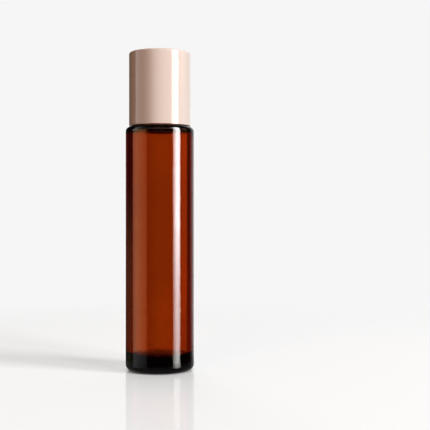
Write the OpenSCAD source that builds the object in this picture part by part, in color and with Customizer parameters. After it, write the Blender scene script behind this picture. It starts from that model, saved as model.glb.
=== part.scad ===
// A slim cylindrical roll-on bottle, closed: a thick-based glass bottle with a screw neck, a
// roller housing pressed into the neck, a ball that rolls in it, and a screw cap made of a
// smooth outer shell, a threaded insert and a sealing disc.
// Millimetres. The origin is the centre of the foot, and +Z runs up the axis to the cap.

/* [Glass bottle] */
// Outside diameter of the glass body
body_d = 20.3; // [19:0.1:26]
// Height of the shoulder's flat top above the foot
shoulder_h = 72.1; // [55:0.1:95]
// Thickness of the side wall
glass_wall = 2; // [1.4:0.05:2.3]
// Thickness of the shoulder
shoulder_wall = 1.6; // [1.4:0.05:2.3]
// Height of the inside floor above the foot
floor_h = 4.6; // [3:0.1:8]
// Radius of the corner between the inside floor and the wall
floor_r = 1.2; // [1:0.1:3]
// Radius of the outside edge at the heel
heel_r = 1.75; // [1:0.05:2.4]
// Radius of the outside edge at the shoulder
shoulder_r = 1.5; // [1:0.05:2.2]
// Radius of the corner under the shoulder, inside
roof_r = 0.8; // [0.6:0.1:2.4]
// Width of the ring that the foot stands on
foot_ring_w = 1.9; // [1:0.1:3]
// Height of the hollow under the foot
push_up_h = 0.8; // [0.4:0.1:1.2]

/* [Neck] */
// Outside diameter of the neck below and above its thread
neck_d = 13; // [12.6:0.1:13.3]
// Height of the neck above the shoulder
neck_h = 9; // [8.4:0.1:9.5]
// Diameter of the hole through the neck
neck_bore_d = 10; // [9.4:0.1:10.4]
// Radius where the neck grows out of the shoulder
neck_root_r = 0.6; // [0.3:0.05:0.7]
// Radius of the outer edge of the neck's rim
rim_r = 0.4; // [0.2:0.05:0.5]

/* [Screw thread] */
// Rise of the thread in one turn
thread_pitch = 2.1; // [2:0.05:2.4]
// Turns of the thread on the neck, and of the one in the cap
thread_turns = 1.75; // [1.25:0.25:2]
// Depth of the threads
thread_depth = 0.7; // [0.5:0.05:0.75]
// Width of a thread at its root, which lies just inside its wall
thread_w = 1.1; // [0.8:0.05:1.2]
// Height at which the neck's thread begins, above the shoulder
thread_start_h = 3; // [2.6:0.1:3.4]
// Space between a thread's crest and the wall that it faces
thread_gap = 0.15; // [0.1:0.05:0.2]

/* [Roller ball] */
// Diameter of the ball
ball_d = 9.8; // [9.4:0.1:10.2]
// Space between the ball and its socket
ball_play = 0.08; // [0.05:0.01:0.12]
// Height of the ball's centre above the neck's rim
ball_sit_h = 3.9; // [3.5:0.1:4.3]

/* [Roller housing] */
// Thickness of the socket's wall at the ball's widest place
cup_wall = 1.2; // [0.9:0.05:1.35]
// Height of the socket's lip above the ball's centre
lip_h = 2.2; // [1.7:0.1:2.6]
// Radius of the lip's outer edge
lip_r = 0.5; // [0.2:0.05:0.6]
// Length of the plug below the neck's rim
plug_l = 6.4; // [5.5:0.1:8]
// Thickness of the plug's wall
plug_wall = 1.05; // [0.8:0.05:1.2]
// Space between the plug's wall and the neck's bore
plug_gap = 0.15; // [0.1:0.05:0.25]
// Number of sealing rings round the plug
seal_rings = 3; // [2:1:4]
// Radius of a sealing ring's rounded section
seal_ring_r = 0.45; // [0.3:0.05:0.5]
// How far a sealing ring is squeezed by the neck's bore
seal_ring_bite = 0.05; // [0.02:0.01:0.08]
// Diameter of the hole that feeds the ball
feed_d = 5; // [4.6:0.1:5.4]
// Number of slots in the seat that wet the ball
feed_slots = 4; // [3:1:6]
// Width of a feed slot
feed_slot_w = 0.9; // [0.6:0.1:1.2]
// Length of a feed slot out from the feed hole
feed_slot_l = 1; // [0.6:0.1:1.2]
// Thickness of the seat's web below the ball
seat_web = 0.8; // [0.6:0.05:1]

/* [Cap shell] */
// Outside diameter of the cap
cap_d = 18.3; // [18.1:0.1:20]
// Height of the cap
cap_h = 21.7; // [20.8:0.1:28]
// Space between the shoulder and the cap's lower edge
cap_gap = 0.15; // [0.1:0.05:0.5]
// Thickness of the shell's side wall
shell_wall = 0.9; // [0.7:0.05:0.95]
// Thickness of the shell's top
shell_top = 1; // [0.7:0.1:1.4]
// Radius of the shell's upper edge
shell_edge_r = 0.5; // [0.3:0.05:0.65]
// Radius of the shell's lower edge
shell_lip_r = 0.25; // [0.1:0.05:0.3]

/* [Cap insert] */
// Thickness of the insert's side wall
insert_wall = 0.7; // [0.6:0.05:0.75]
// Thickness of the insert's roof
insert_roof = 0.8; // [0.6:0.05:1.1]
// Height of the insert's lower edge above the shell's
insert_inset = 0.5; // [0.3:0.1:0.8]
// Number of ribs that grip the shell
grip_ribs = 12; // [8:1:16]
// Width of a grip rib
grip_rib_w = 0.8; // [0.5:0.1:1.2]
// How far a grip rib is squeezed by the shell
grip_bite = 0.03; // [0.02:0.01:0.04]
// Diameter of the spacer ring on the insert's roof
spacer_d = 11; // [8:0.5:13]
// Thickness of the spacer ring's wall
spacer_wall = 0.8; // [0.6:0.1:1.2]
// Radius of the bead that holds the sealing disc up
bead_r = 0.35; // [0.25:0.05:0.4]

/* [Sealing disc] */
// Thickness of the sealing disc
disc_t = 0.9; // [0.6:0.1:1.2]
// Space round the sealing disc
disc_gap = 0.1; // [0.05:0.05:0.2]
// Space between the closed disc and the ball
disc_lift = 0.1; // [0.05:0.05:0.2]

/* [Hidden] */
$fn = 96;

// How far a cutter or a buried root runs past the face that it crosses
overrun = glass_wall / 10;
// Rings of corners in one turn of a thread
ridge_steps = 36;
// Part of a turn in which a thread rises out of its wall at each end
ridge_rise_share = 1 / 12;
// Height of a thread's buried end, as a share of its full height
ridge_end_share = 0.1;
// A thread's section, from its lower to its upper root: each corner's height as a share of
// the full height, and its place across the thread as a share of the width
ridge_shares = [[0, -0.5], [0.75, -0.34], [1, -0.18], [1, 0.18], [0.75, 0.34], [0, 0.5]];

// Glass bottle
body_r = body_d / 2;
cavity_r = body_r - glass_wall;
cavity_top_h = shoulder_h - shoulder_wall;
foot_ring_in_r = body_r - heel_r - foot_ring_w;
// Radius of the sphere that hollows the foot
push_up_r = (pow(foot_ring_in_r, 2) + pow(push_up_h, 2)) / (2 * push_up_h);

// Neck and thread
neck_r = neck_d / 2;
neck_bore_r = neck_bore_d / 2;
rim_h = shoulder_h + neck_h;
thread_z = shoulder_h + thread_start_h;

// Ball and housing
ball_r = ball_d / 2;
ball_z = rim_h + ball_sit_h;
socket_r = ball_r + ball_play;
cup_r = socket_r + cup_wall;
lip_z = ball_z + lip_h;
plug_r = neck_bore_r - plug_gap;
plug_in_r = plug_r - plug_wall;
plug_low_z = rim_h - plug_l;
seat_z = ball_z - socket_r;
seat_low_z = seat_z - seat_web;
feed_r = feed_d / 2;
seal_ring_pitch = plug_l / (seal_rings + 1);
seal_ring_centre_r = neck_bore_r + seal_ring_bite - seal_ring_r;

// Disc and insert
disc_z = ball_z + ball_r + disc_lift;
insert_roof_z = disc_z + disc_t;
insert_top_z = insert_roof_z + insert_roof;
insert_bore_r = neck_r + thread_depth + thread_gap;
insert_r = insert_bore_r + insert_wall;
disc_r = insert_bore_r - disc_gap;
bead_z = disc_z - disc_gap - bead_r;

// Shell
cap_r = cap_d / 2;
shell_bore_r = cap_r - shell_wall;
cap_low_z = shoulder_h + cap_gap;
cap_top_z = cap_low_z + cap_h;
ceiling_z = cap_top_z - shell_top;
insert_low_z = cap_low_z + insert_inset;

// What lies between a square corner at the origin and the arc of radius r that rounds it,
// for a section that has its material below and to the left
module corner(r) {
    if (r > 0)
        difference() {
            translate([-r, -r])
                square(r + overrun);
            translate([-r, -r])
                circle(r);
        }
}

// Half of a round section, from the axis out to radius r, with rounded outer corners
module half_section(r, low_z, top_z, low_corner_r, top_corner_r) {
    difference() {
        translate([0, low_z])
            square([r, top_z - low_z]);
        translate([r, top_z])
            corner(top_corner_r);
        translate([r, low_z])
            mirror([0, 1])
                corner(low_corner_r);
    }
}

// The corners of a ridge at one place along it, t turns from its start, on a wall of radius
// wall_r. side is 1 where the ridge stands outwards from the wall, and -1 where inwards
function ridge_ring(t, wall_r, start_z, side) =
    let (rise = min(1, t / ridge_rise_share, (thread_turns - t) / ridge_rise_share),
         height = (thread_depth + overrun) * max(ridge_end_share, rise))
    [for (p = ridge_shares)
        let (r = wall_r + side * (height * p[0] - overrun))
        [r * cos(360 * t), r * sin(360 * t),
         start_z + thread_pitch * t + side * thread_w * p[1]]];

// A right-hand screw thread, as one ridge that winds up a wall
module ridge(wall_r, start_z, side) {
    corners = len(ridge_shares);
    steps = ceil(thread_turns * ridge_steps);
    points = [for (i = [0 : steps])
        each ridge_ring(thread_turns * i / steps, wall_r, start_z, side)];
    sides = [for (i = [0 : steps - 1], j = [0 : corners - 1])
        let (k = (j + 1) % corners, ring = i * corners, next = ring + corners)
        [ring + j, ring + k, next + k, next + j]];
    first_end = [for (j = [corners - 1 : -1 : 0]) j];
    last_end = [for (j = [0 : corners - 1]) steps * corners + j];
    polyhedron(points, concat([first_end, last_end], sides));
}

// The glass body and neck, with a fillet where they meet
module bottle_outside() {
    half_section(body_r, 0, shoulder_h, heel_r, shoulder_r);
    half_section(neck_r, cavity_top_h, rim_h, 0, rim_r);
    translate([neck_r, shoulder_h])
        rotate(180)
            corner(neck_root_r);
}

// The room for the liquid, and the hole up through the neck
module bottle_inside() {
    half_section(cavity_r, floor_h, cavity_top_h, floor_r, roof_r);
    translate([0, cavity_top_h - overrun])
        square([neck_bore_r, rim_h - cavity_top_h + 2 * overrun]);
}

module glass_bottle() {
    color("#7D2604") {
        rotate_extrude()
            difference() {
                bottle_outside();
                bottle_inside();
                translate([0, push_up_h - push_up_r])
                    circle(push_up_r);
            }
        ridge(neck_r, thread_z, 1);
    }
}

// The socket's cup on the rim, and the plug with its sealing rings
module housing_outside() {
    half_section(cup_r, rim_h, lip_z, 0, lip_r);
    translate([0, plug_low_z])
        square([plug_r, plug_l + overrun]);
    for (i = [1 : seal_rings])
        translate([seal_ring_centre_r, plug_low_z + i * seal_ring_pitch])
            circle(seal_ring_r);
}

module roller_housing() {
    color("#F2F0EA")
        difference() {
            rotate_extrude()
                housing_outside();
            translate([0, 0, ball_z])
                sphere(socket_r);
            translate([0, 0, plug_low_z - overrun])
                cylinder(h = seat_low_z - plug_low_z + overrun, r = plug_in_r);
            translate([0, 0, seat_low_z - overrun])
                cylinder(h = seat_web + socket_r, r = feed_r);
            for (i = [0 : feed_slots - 1])
                rotate(i * 360 / feed_slots)
                    translate([0, -feed_slot_w / 2, seat_z])
                        cube([feed_r + feed_slot_l, feed_slot_w, socket_r]);
        }
}

module roller_ball() {
    color("#C9CCD1")
        translate([0, 0, ball_z])
            sphere(ball_r);
}

module sealing_disc() {
    color("#F7F6F2")
        translate([0, 0, disc_z])
            cylinder(h = disc_t, r = disc_r);
}

// The insert's wall, roof, spacer ring and bead
module insert_section() {
    translate([insert_bore_r, insert_low_z])
        square([insert_wall, insert_top_z - insert_low_z]);
    translate([0, insert_roof_z])
        square([insert_r, insert_roof]);
    translate([spacer_d / 2 - spacer_wall, insert_top_z - overrun])
        square([spacer_wall, ceiling_z - insert_top_z + overrun]);
    translate([insert_bore_r, bead_z])
        circle(bead_r);
}

module cap_insert() {
    color("#EDEBE6") {
        rotate_extrude()
            insert_section();
        for (i = [0 : grip_ribs - 1])
            rotate(i * 360 / grip_ribs)
                translate([insert_r - overrun, -grip_rib_w / 2, insert_low_z])
                    cube([shell_bore_r + grip_bite - insert_r + overrun, grip_rib_w,
                          insert_top_z - insert_low_z]);
        ridge(insert_bore_r, thread_z - thread_pitch / 2, -1);
    }
}

module cap_shell() {
    color("#E2C7BA")
        rotate_extrude()
            difference() {
                half_section(cap_r, cap_low_z, cap_top_z, shell_lip_r, shell_edge_r);
                translate([0, cap_low_z - overrun])
                    square([shell_bore_r, ceiling_z - cap_low_z + overrun]);
            }
}

glass_bottle();
roller_housing();
roller_ball();
sealing_disc();
cap_insert();
cap_shell();
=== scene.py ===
"""A roll-on bottle: amber glass, a roller ball in its housing, and a glossy nude screw cap.

Every piece is a turned part. Its outline is drawn here as a half section in millimetres, and one
Geometry Nodes tree turns the outline round the axis, winds the screw thread on it and raises
its ribs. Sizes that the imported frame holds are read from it, and each class holds the rest.
"""

from __future__ import annotations

import logging
import math
from dataclasses import dataclass
from enum import Enum

import bmesh
import bpy
from bpy.types import Material, Node, NodeSocket, NodeTree, Object
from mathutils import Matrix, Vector

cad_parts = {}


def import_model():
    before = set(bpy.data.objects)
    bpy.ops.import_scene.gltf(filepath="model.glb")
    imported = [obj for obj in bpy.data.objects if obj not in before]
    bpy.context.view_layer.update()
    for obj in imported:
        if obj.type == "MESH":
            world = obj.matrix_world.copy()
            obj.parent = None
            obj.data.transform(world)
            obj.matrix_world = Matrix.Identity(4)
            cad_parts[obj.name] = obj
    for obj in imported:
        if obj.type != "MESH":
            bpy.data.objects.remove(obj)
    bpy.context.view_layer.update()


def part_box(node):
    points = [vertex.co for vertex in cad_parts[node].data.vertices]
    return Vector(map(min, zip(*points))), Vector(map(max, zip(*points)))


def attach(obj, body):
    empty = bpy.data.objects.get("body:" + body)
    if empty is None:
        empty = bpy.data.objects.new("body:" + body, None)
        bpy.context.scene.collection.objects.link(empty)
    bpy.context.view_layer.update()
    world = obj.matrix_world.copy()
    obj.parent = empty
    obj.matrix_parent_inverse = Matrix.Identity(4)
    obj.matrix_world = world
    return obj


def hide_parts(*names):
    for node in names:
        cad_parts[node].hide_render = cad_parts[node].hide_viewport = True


MM = 0.001
# A straight run gets a point this far from each fillet, in millimetres, so that it shades as flat
HOLD = 0.03
LOG = logging.getLogger("roll_on_bottle")
WHITE = "#FFFFFF"

# The kinds of node that are used most
MATH = "ShaderNodeMath"
VECTOR_MATH = "ShaderNodeVectorMath"
MIX = "ShaderNodeMix"
MIX_SHADER = "ShaderNodeMixShader"
# Its inputs in order are a value, the ends of its range, and what they turn into, or else 0 and 1
MAP_RANGE = "ShaderNodeMapRange"


def linear(hex_code: str) -> tuple[float, float, float, float]:
    """Turns an sRGB colour into the linear one that Blender's sockets hold.

    Args:
        hex_code: The colour as written, such as "#E2C7BA".

    Returns:
        Linear red, green, blue and an alpha of 1.
    """
    shares = [int(hex_code[i:i + 2], 16) / 255 for i in (1, 3, 5)]
    channels = [s / 12.92 if s <= 0.04045 else ((s + 0.055) / 1.055) ** 2.4 for s in shares]
    return (channels[0], channels[1], channels[2], 1.0)


def metres(lengths_mm: tuple[float, ...]) -> list[float]:
    """Turns millimetres into metres."""
    return [length * MM for length in lengths_mm]


def add(tree: NodeTree, kind: str, inputs: tuple | dict = (), **settings: object) -> Node:
    """Adds a node to a tree, with its settings, values and links.

    Args:
        tree: The tree that gets the node.
        kind: The node's type name.
        inputs: What its first inputs take, in order, or what each named or numbered input takes:
            a value, a socket to link, or a node whose first live output is linked.
        **settings: The node's own properties.

    Returns:
        The new node.
    """
    node = tree.nodes.new(kind)
    for name, value in settings.items():
        setattr(node, name, value)
    taken = inputs if isinstance(inputs, dict) else dict(enumerate(inputs))
    for key, value in taken.items():
        if isinstance(value, Node):
            value = next(socket for socket in value.outputs if socket.enabled)
        if isinstance(value, NodeSocket):
            tree.links.new(value, node.inputs[key])
        else:
            node.inputs[key].default_value = value
    return node


# Outlines


@dataclass(frozen=True)
class Corner:
    """A corner of a half section, in millimetres.

    Attributes:
        r: Distance from the axis.
        z: Height.
        fillet: Radius that rounds the corner, or 0.
        step: Longest distance between points on the run to the next corner, or 0 for one run.
    """

    r: float
    z: float
    fillet: float = 0.0
    step: float = 0.0

    def point(self) -> Vector:
        """Gives the corner as a point, with the distance from the axis as x."""
        return Vector((self.r, 0.0, self.z))


def arc(centre_z: float, radius: float, start_deg: float, end_deg: float, steps: int,
        centre_r: float = 0.0) -> list[Corner]:
    """Lists points on an arc of a half section.

    Args:
        centre_z: Height of the arc's centre.
        radius: Radius of the arc.
        start_deg: Angle of the first point, from straight out and up.
        end_deg: Angle of the last point.
        steps: Number of chords.
        centre_r: Distance of the centre from the axis.

    Returns:
        The points, as corners with no fillet.
    """
    angles = [math.radians(start_deg + (end_deg - start_deg) * i / steps) for i in range(steps + 1)]
    return [Corner(max(0.0, centre_r + radius * math.cos(a)), centre_z + radius * math.sin(a))
            for a in angles]


def dome(top_z: float, half_width: float, rise: float, steps: int,
         edge_r: float | None = None) -> list[Corner]:
    """Lists points on a shallow dome, from its middle outwards.

    Args:
        top_z: Height of its middle.
        half_width: Its radius, seen from above.
        rise: How far its middle stands over its edge.
        steps: Number of chords.
        edge_r: Where the points end if not at its edge.

    Returns:
        The points, as corners with no fillet.
    """
    radius = (half_width ** 2 + rise ** 2) / (2 * rise)
    reach = math.degrees(math.asin((edge_r or half_width) / radius))
    return arc(top_z - radius, radius, 90.0, 90.0 - reach, steps)


def rounded(corners: list[Corner], chords: int = 10) -> list[Vector]:
    """Draws a half section with its fillets.

    Args:
        corners: The section's corners in order.
        chords: Number of chords in each fillet.

    Returns:
        Points in millimetres, with the distance from the axis as x and the height as z.
    """
    points: list[Vector] = []
    for i, corner in enumerate(corners):
        here = corner.point()
        if corner.fillet > 0:
            back = (corners[i - 1].point() - here).normalized()
            on = (corners[i + 1].point() - here).normalized()
            half = back.angle(on) / 2
            centre = here + (back + on).normalized() * (corner.fillet / math.sin(half))
            first = here + back * (corner.fillet / math.tan(half)) - centre
            last = here + on * (corner.fillet / math.tan(half)) - centre
            points.append(centre + first + back * HOLD)
            # The vectors that slerp gives have a length of 1
            points += [centre + first.slerp(last, k / chords) * corner.fillet
                       for k in range(chords + 1)]
            points.append(centre + last + on * HOLD)
        else:
            points.append(here)
        if corner.step > 0:
            start, end = points[-1], corners[i + 1].point()
            end -= (end - start).normalized() * corners[i + 1].fillet
            count = math.ceil((end - start).length / corner.step)
            points += [start.lerp(end, k / count) for k in range(1, count)]
    return points


# Geometry Nodes


@dataclass(frozen=True)
class Thread:
    """A right-hand screw thread on a wall, in millimetres.

    Attributes:
        wall_r: Radius of the wall that carries it.
        start_z: Height at which it starts.
        pitch: Rise in one turn.
        turns: Number of turns.
        depth: How far it stands out from the wall.
        width: Width at the wall.
        crest: Width at the crest.
        side: 1 where it stands outwards, -1 where inwards.
    """

    wall_r: float
    start_z: float
    pitch: float = 2.1
    turns: float = 1.75
    depth: float = 0.7
    width: float = 1.06
    crest: float = 0.3
    side: float = 1.0


@dataclass(frozen=True)
class Ribs:
    """Upright ribs round a wall, in millimetres.

    Attributes:
        wall_r: Radius of the wall that carries them.
        height: How far they stand out.
        width: Width of a rib.
        count: Number of ribs.
    """

    wall_r: float
    height: float
    width: float = 0.8
    count: int = 12


class SolidTree:
    """A Geometry Nodes tree that makes one solid and gives it its material.

    Attributes:
        NAME: The tree's name.
        INPUTS: The kind of value that each of its inputs takes, apart from the geometry.
        tree: The tree.
        names: The identifier of each input.
        given: What the tree is given, as sockets by name.
    """

    NAME: str
    INPUTS: dict[str, str]

    def __init__(self) -> None:
        """Builds the tree."""
        self.tree = bpy.data.node_groups.new(self.NAME, "GeometryNodeTree")
        socket = self.tree.interface.new_socket
        socket("Geometry", in_out="INPUT", socket_type="NodeSocketGeometry")
        self.names = {
            name: socket(name, in_out="INPUT", socket_type=f"NodeSocket{kind}").identifier
            for name, kind in self.INPUTS.items()}
        socket("Geometry", in_out="OUTPUT", socket_type="NodeSocketGeometry")
        self.given = add(self.tree, "NodeGroupInput").outputs
        real = add(self.tree, "GeometryNodeRealizeInstances", (self.shape(),))
        dressed = add(self.tree, "GeometryNodeSetMaterial",
                      {"Geometry": real, "Material": self.given["Material"]})
        add(self.tree, "NodeGroupOutput", (dressed,))

    def shape(self) -> Node:
        """Adds the nodes that make the solid, and gives the last of them."""
        raise NotImplementedError


class TurnedTree(SolidTree):
    """Turns an outline round the axis, winds a thread on it and raises ribs."""

    NAME = "turned_part"
    INPUTS = {"Segments": "Int", "Thread Wall": "Float", "Thread Start": "Float",
              "Thread Pitch": "Float", "Thread Turns": "Float", "Thread Height": "Float",
              "Thread Width": "Float", "Thread Crest": "Float", "Rib Wall": "Float",
              "Rib Height": "Float", "Rib Width": "Float", "Rib Count": "Float",
              "Material": "Material"}
    # A wall is told from its neighbours, and doubles are merged, at a thousandth of a millimetre
    NEAR = 0.001 * MM
    # Part of a turn in which a thread rises from its wall at each end
    RISE = 0.14
    # Width over which a rib's flank slopes
    FLANK = 0.2 * MM

    def shape(self) -> Node:
        """Makes the solid step by step, and gives the last node."""
        return self.raise_ribs(self.wind_thread(self.revolve()))

    def revolve(self) -> Node:
        """Turns the outline's points round the axis, and closes the seam and the poles.

        Returns:
            The node that holds the closed solid.
        """
        tree, outline = self.tree, self.given["Geometry"]
        rows = add(tree, "GeometryNodeAttributeDomainSize", (outline,), component="MESH")
        last_row = add(tree, MATH, (rows, 1), operation="SUBTRACT")
        columns = add(tree, MATH, (self.given["Segments"], 1), operation="ADD")
        grid = add(tree, "GeometryNodeMeshGrid",
                   {"Size X": 1.0, "Size Y": 1.0, "Vertices X": columns, "Vertices Y": rows})
        place = add(tree, "GeometryNodeInputPosition")
        # The grid is one unit square, with its middle on the axis
        share = add(tree, VECTOR_MATH, (place, (0.5, 0.5, 0.0)), operation="ADD")
        across, up, _ = add(tree, "ShaderNodeSeparateXYZ", (share,)).outputs
        angle = add(tree, MATH, (across, math.tau), operation="MULTIPLY")
        row = add(tree, MATH, (up, last_row), operation="MULTIPLY")
        row = add(tree, MATH, (row,), operation="ROUND")
        point = add(tree, "GeometryNodeSampleIndex",
                    {"Geometry": outline, "Value": place, "Index": row},
                    data_type="FLOAT_VECTOR", domain="POINT")
        turned = add(tree, "ShaderNodeVectorRotate", {"Vector": point, "Angle": angle},
                     rotation_type="Z_AXIS")
        solid = add(tree, "GeometryNodeSetPosition", {"Geometry": grid, "Position": turned})
        return add(tree, "GeometryNodeMergeByDistance", {"Geometry": solid, "Distance": self.NEAR})

    def around(self) -> tuple[Node | NodeSocket, ...]:
        """Tells where each point is, round the axis.

        Returns:
            Its distance from the axis, its share of a turn, its height and its outward direction.
        """
        tree = self.tree
        place = add(tree, "GeometryNodeInputPosition")
        flat = add(tree, VECTOR_MATH, (place, (1.0, 1.0, 0.0)), operation="MULTIPLY")
        radius = add(tree, VECTOR_MATH, (flat,), operation="LENGTH")
        outward = add(tree, VECTOR_MATH, (flat,), operation="NORMALIZE")
        x, y, height = add(tree, "ShaderNodeSeparateXYZ", (place,)).outputs
        angle = add(tree, MATH, (y, x), operation="ARCTAN2")
        turn = add(tree, MATH, (angle, math.tau), operation="DIVIDE")
        return radius, turn, height, outward

    def push_out(self, solid: Node, wall: NodeSocket, height: Node, radius: Node,
                 outward: Node) -> Node:
        """Moves the points of one wall straight out from the axis.

        Args:
            solid: The geometry.
            wall: Radius of the wall that moves.
            height: How far each point moves.
            radius: Each point's distance from the axis.
            outward: Each point's outward direction.

        Returns:
            The node that holds the changed geometry.
        """
        on_wall = add(self.tree, MATH, (radius, wall, self.NEAR), operation="COMPARE")
        move = add(self.tree, VECTOR_MATH, {0: outward, "Scale": height}, operation="SCALE")
        return add(self.tree, "GeometryNodeSetPosition",
                   {"Geometry": solid, "Selection": on_wall, "Offset": move})

    def wind_thread(self, solid: Node) -> Node:
        """Raises the thread's ridge along its helix, fading at both ends.

        Args:
            solid: The geometry.

        Returns:
            The node that holds the changed geometry.
        """
        tree, given = self.tree, self.given
        radius, turn, height, outward = self.around()
        above = add(tree, MATH, (height, given["Thread Start"]), operation="SUBTRACT")
        climbed = add(tree, MATH, (above, given["Thread Pitch"]), operation="DIVIDE")
        phase = add(tree, MATH, (climbed, turn), operation="SUBTRACT")
        nearest = add(tree, MATH, (phase,), operation="ROUND")
        off = add(tree, MATH, (phase, nearest), operation="SUBTRACT")
        off = add(tree, MATH, (off,), operation="ABSOLUTE")
        across = add(tree, MATH, (given["Thread Pitch"], off), operation="MULTIPLY")
        foot = add(tree, MATH, (given["Thread Width"], 2), operation="DIVIDE")
        crest = add(tree, MATH, (given["Thread Crest"], 2), operation="DIVIDE")
        section = add(tree, MAP_RANGE, (across, foot, crest), interpolation_type="SMOOTHSTEP")
        along = add(tree, MATH, (turn, nearest), operation="ADD")
        left = add(tree, MATH, (given["Thread Turns"], along), operation="SUBTRACT")
        from_end = add(tree, MATH, (along, left), operation="MINIMUM")
        fade = add(tree, MAP_RANGE, (from_end, 0.0, self.RISE), interpolation_type="SMOOTHSTEP")
        share = add(tree, MATH, (section, fade), operation="MULTIPLY")
        stand = add(tree, MATH, (given["Thread Height"], share), operation="MULTIPLY")
        return self.push_out(solid, given["Thread Wall"], stand, radius, outward)

    def raise_ribs(self, solid: Node) -> Node:
        """Raises evenly spaced upright ribs.

        Args:
            solid: The geometry.

        Returns:
            The node that holds the changed geometry.
        """
        tree, given = self.tree, self.given
        radius, turn, _, outward = self.around()
        spaced = add(tree, MATH, (turn, given["Rib Count"]), operation="MULTIPLY")
        spaced = add(tree, MATH, (spaced, 0.5, -0.5), operation="WRAP")
        off = add(tree, MATH, (spaced,), operation="ABSOLUTE")
        off = add(tree, MATH, (off, given["Rib Count"]), operation="DIVIDE")
        girth = add(tree, MATH, (radius, math.tau), operation="MULTIPLY")
        across = add(tree, MATH, (off, girth), operation="MULTIPLY")
        top = add(tree, MATH, (given["Rib Width"], 2), operation="DIVIDE")
        foot = add(tree, MATH, (top, self.FLANK), operation="ADD")
        section = add(tree, MAP_RANGE, (across, foot, top))
        stand = add(tree, MATH, (given["Rib Height"], section), operation="MULTIPLY")
        return self.push_out(solid, given["Rib Wall"], stand, radius, outward)


class SlotTree(SolidTree):
    """Cuts evenly spaced radial slots in a turned part."""

    NAME = "radial_slots"
    INPUTS = {"Count": "Int", "Length": "Float", "Width": "Float", "Low": "Float",
              "High": "Float", "Material": "Material"}

    def shape(self) -> Node:
        """Sets a ring of blocks round the axis, and cuts them out.

        Returns:
            The node that holds the slotted solid.
        """
        tree, given = self.tree, self.given
        tall = add(tree, MATH, (given["High"], given["Low"]), operation="SUBTRACT")
        size = add(tree, "ShaderNodeCombineXYZ", (given["Length"], given["Width"], tall))
        block = add(tree, "GeometryNodeMeshCube", {"Size": size})
        middle = add(tree, MATH, (given["Length"], 0.5), operation="MULTIPLY")
        centre = add(tree, MATH, (tall, 0.5, given["Low"]), operation="MULTIPLY_ADD")
        place = add(tree, "ShaderNodeCombineXYZ", {"X": middle, "Z": centre})
        block = add(tree, "GeometryNodeSetPosition", {"Geometry": block, "Offset": place})
        points = add(tree, "GeometryNodePoints", {"Count": given["Count"]})
        index = add(tree, "GeometryNodeInputIndex")
        turn = add(tree, MATH, (index, given["Count"]), operation="DIVIDE")
        angle = add(tree, MATH, (turn, math.tau), operation="MULTIPLY")
        turned = add(tree, "ShaderNodeCombineXYZ", {"Z": angle})
        ring = add(tree, "GeometryNodeInstanceOnPoints",
                   {"Points": points, "Instance": block, "Rotation": turned})
        ring = add(tree, "GeometryNodeRealizeInstances", (ring,))
        return add(tree, "GeometryNodeMeshBoolean", {"Mesh 1": given["Geometry"], "Mesh 2": ring},
                   operation="DIFFERENCE", solver="EXACT")


class Workshop:
    """Makes plain meshes with the Geometry Nodes trees."""

    # Segments of a turned part round its axis
    SEGMENTS = 192
    # Edges that turn more than this stay sharp
    SHARP_DEG = 38.0

    def __init__(self) -> None:
        """Builds the trees."""
        self.turned = TurnedTree()
        self.slots = SlotTree()

    def attach(self, piece: Object, maker: SolidTree, values: dict) -> None:
        """Puts a tree on a piece as a modifier.

        Args:
            piece: The object.
            maker: The tree and its inputs' identifiers.
            values: The value of each named input.
        """
        modifier = piece.modifiers.new(maker.tree.name, "NODES")
        modifier.node_group = maker.tree
        for name, value in values.items():
            modifier[maker.names[name]] = value

    def turn(self, name: str, outline: list[Vector], material: Material,
             thread: Thread | None = None, ribs: Ribs | None = None) -> Object:
        """Turns an outline into a solid piece.

        Args:
            name: The piece's name.
            outline: Points of its half section, in millimetres.
            material: Its finish.
            thread: A thread on one of its walls.
            ribs: Ribs on one of its walls.

        Returns:
            The object, with the tree still live.
        """
        mesh = bpy.data.meshes.new(name)
        mesh.from_pydata([point * MM for point in outline], [], [])
        piece = bpy.data.objects.new(name, mesh)
        bpy.context.scene.collection.objects.link(piece)
        thread = thread or Thread(wall_r=0.0, start_z=0.0, depth=0.0)
        ribs = ribs or Ribs(wall_r=0.0, height=0.0)
        self.attach(piece, self.turned, {
            "Segments": self.SEGMENTS,
            "Thread Wall": thread.wall_r * MM,
            "Thread Start": thread.start_z * MM,
            "Thread Pitch": thread.pitch * MM,
            "Thread Turns": thread.turns,
            "Thread Height": thread.side * thread.depth * MM,
            "Thread Width": thread.width * MM,
            "Thread Crest": thread.crest * MM,
            "Rib Wall": ribs.wall_r * MM,
            "Rib Height": ribs.height * MM,
            "Rib Width": ribs.width * MM,
            "Rib Count": float(ribs.count),
            "Material": material,
        })
        return piece

    def finish(self, piece: Object) -> Object:
        """Makes a piece plain: one mesh with no modifiers, faces outward and smooth.

        Args:
            piece: The object with its trees.

        Returns:
            The same object.
        """
        bpy.context.view_layer.update()
        graph = bpy.context.evaluated_depsgraph_get()
        mesh = bpy.data.meshes.new_from_object(piece.evaluated_get(graph))
        piece.modifiers.clear()
        piece.data = mesh
        mesh.name = piece.name
        shape = bmesh.new()
        shape.from_mesh(mesh)
        bmesh.ops.recalc_face_normals(shape, faces=shape.faces)
        shape.to_mesh(mesh)
        shape.free()
        mesh.polygons.foreach_set("use_smooth", [True] * len(mesh.polygons))
        mesh.set_sharp_from_angle(angle=math.radians(self.SHARP_DEG))
        mesh.update()
        return piece


# Finishes


def blank(name: str) -> tuple[Material, NodeTree]:
    """Makes a material with no nodes.

    Args:
        name: Its name.

    Returns:
        The material and its tree.
    """
    material = bpy.data.materials.new(name)
    material.use_nodes = True
    material.node_tree.nodes.clear()
    return material, material.node_tree


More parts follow.
